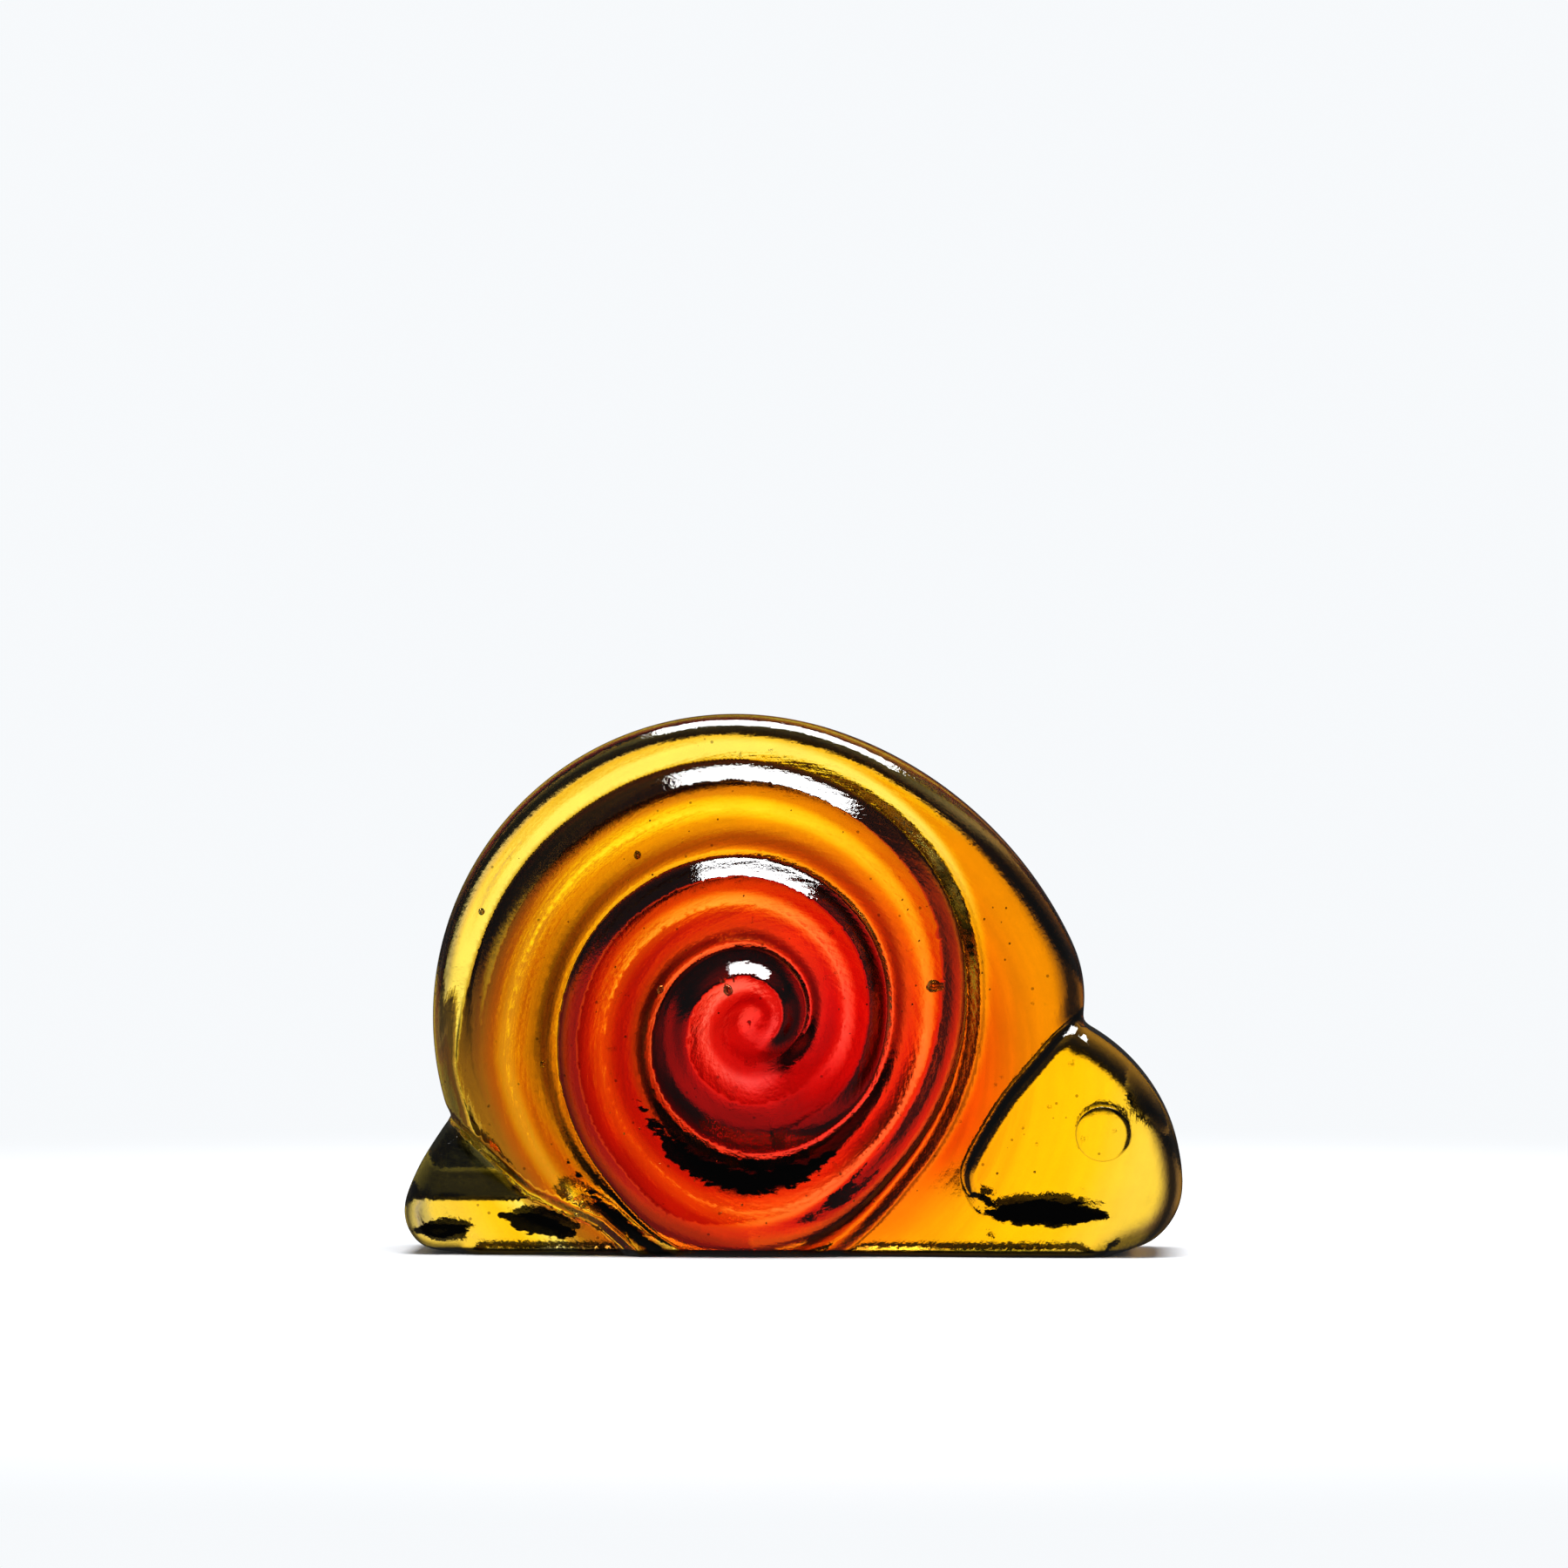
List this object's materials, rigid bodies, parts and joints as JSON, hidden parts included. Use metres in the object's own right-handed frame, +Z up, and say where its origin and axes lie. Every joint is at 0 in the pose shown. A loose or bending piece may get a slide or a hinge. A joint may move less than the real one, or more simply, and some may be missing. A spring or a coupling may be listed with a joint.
{
  "type": "snail figurine",
  "caption": "Solid pressed-glass snail with a stepped spiral shell in relief on both sides, a round-eyed head, a low tail and a flat base.",
  "frame": {"origin": "middle of the flat base, under the middle of the overall length", "axes": "+X towards the head along the length, +Y across the thickness towards the snail's left side, +Z up from the base"},
  "size_m": [0.1, 0.03, 0.0694],
  "materials": {
    "ruby_glass": "clear ruby glass with fine seeds, fire-polished skin",
    "red_glass": "clear red glass that turns to orange along the whorl",
    "orange_glass": "clear orange glass, slightly pebbled by the mould",
    "amber_glass": "clear amber glass with a smooth rounded rim",
    "yellow_glass": "clear yellow-amber glass"
  },
  "bodies": {
    "root": {"apex": "ruby_glass", "inner_whorl": "red_glass", "middle_whorl": "orange_glass", "outer_whorl": "amber_glass", "head": "yellow_glass", "foot": "yellow_glass", "tail": "yellow_glass", "right_eye": "yellow_glass", "left_eye": "yellow_glass"}
  },
  "joints": []
}
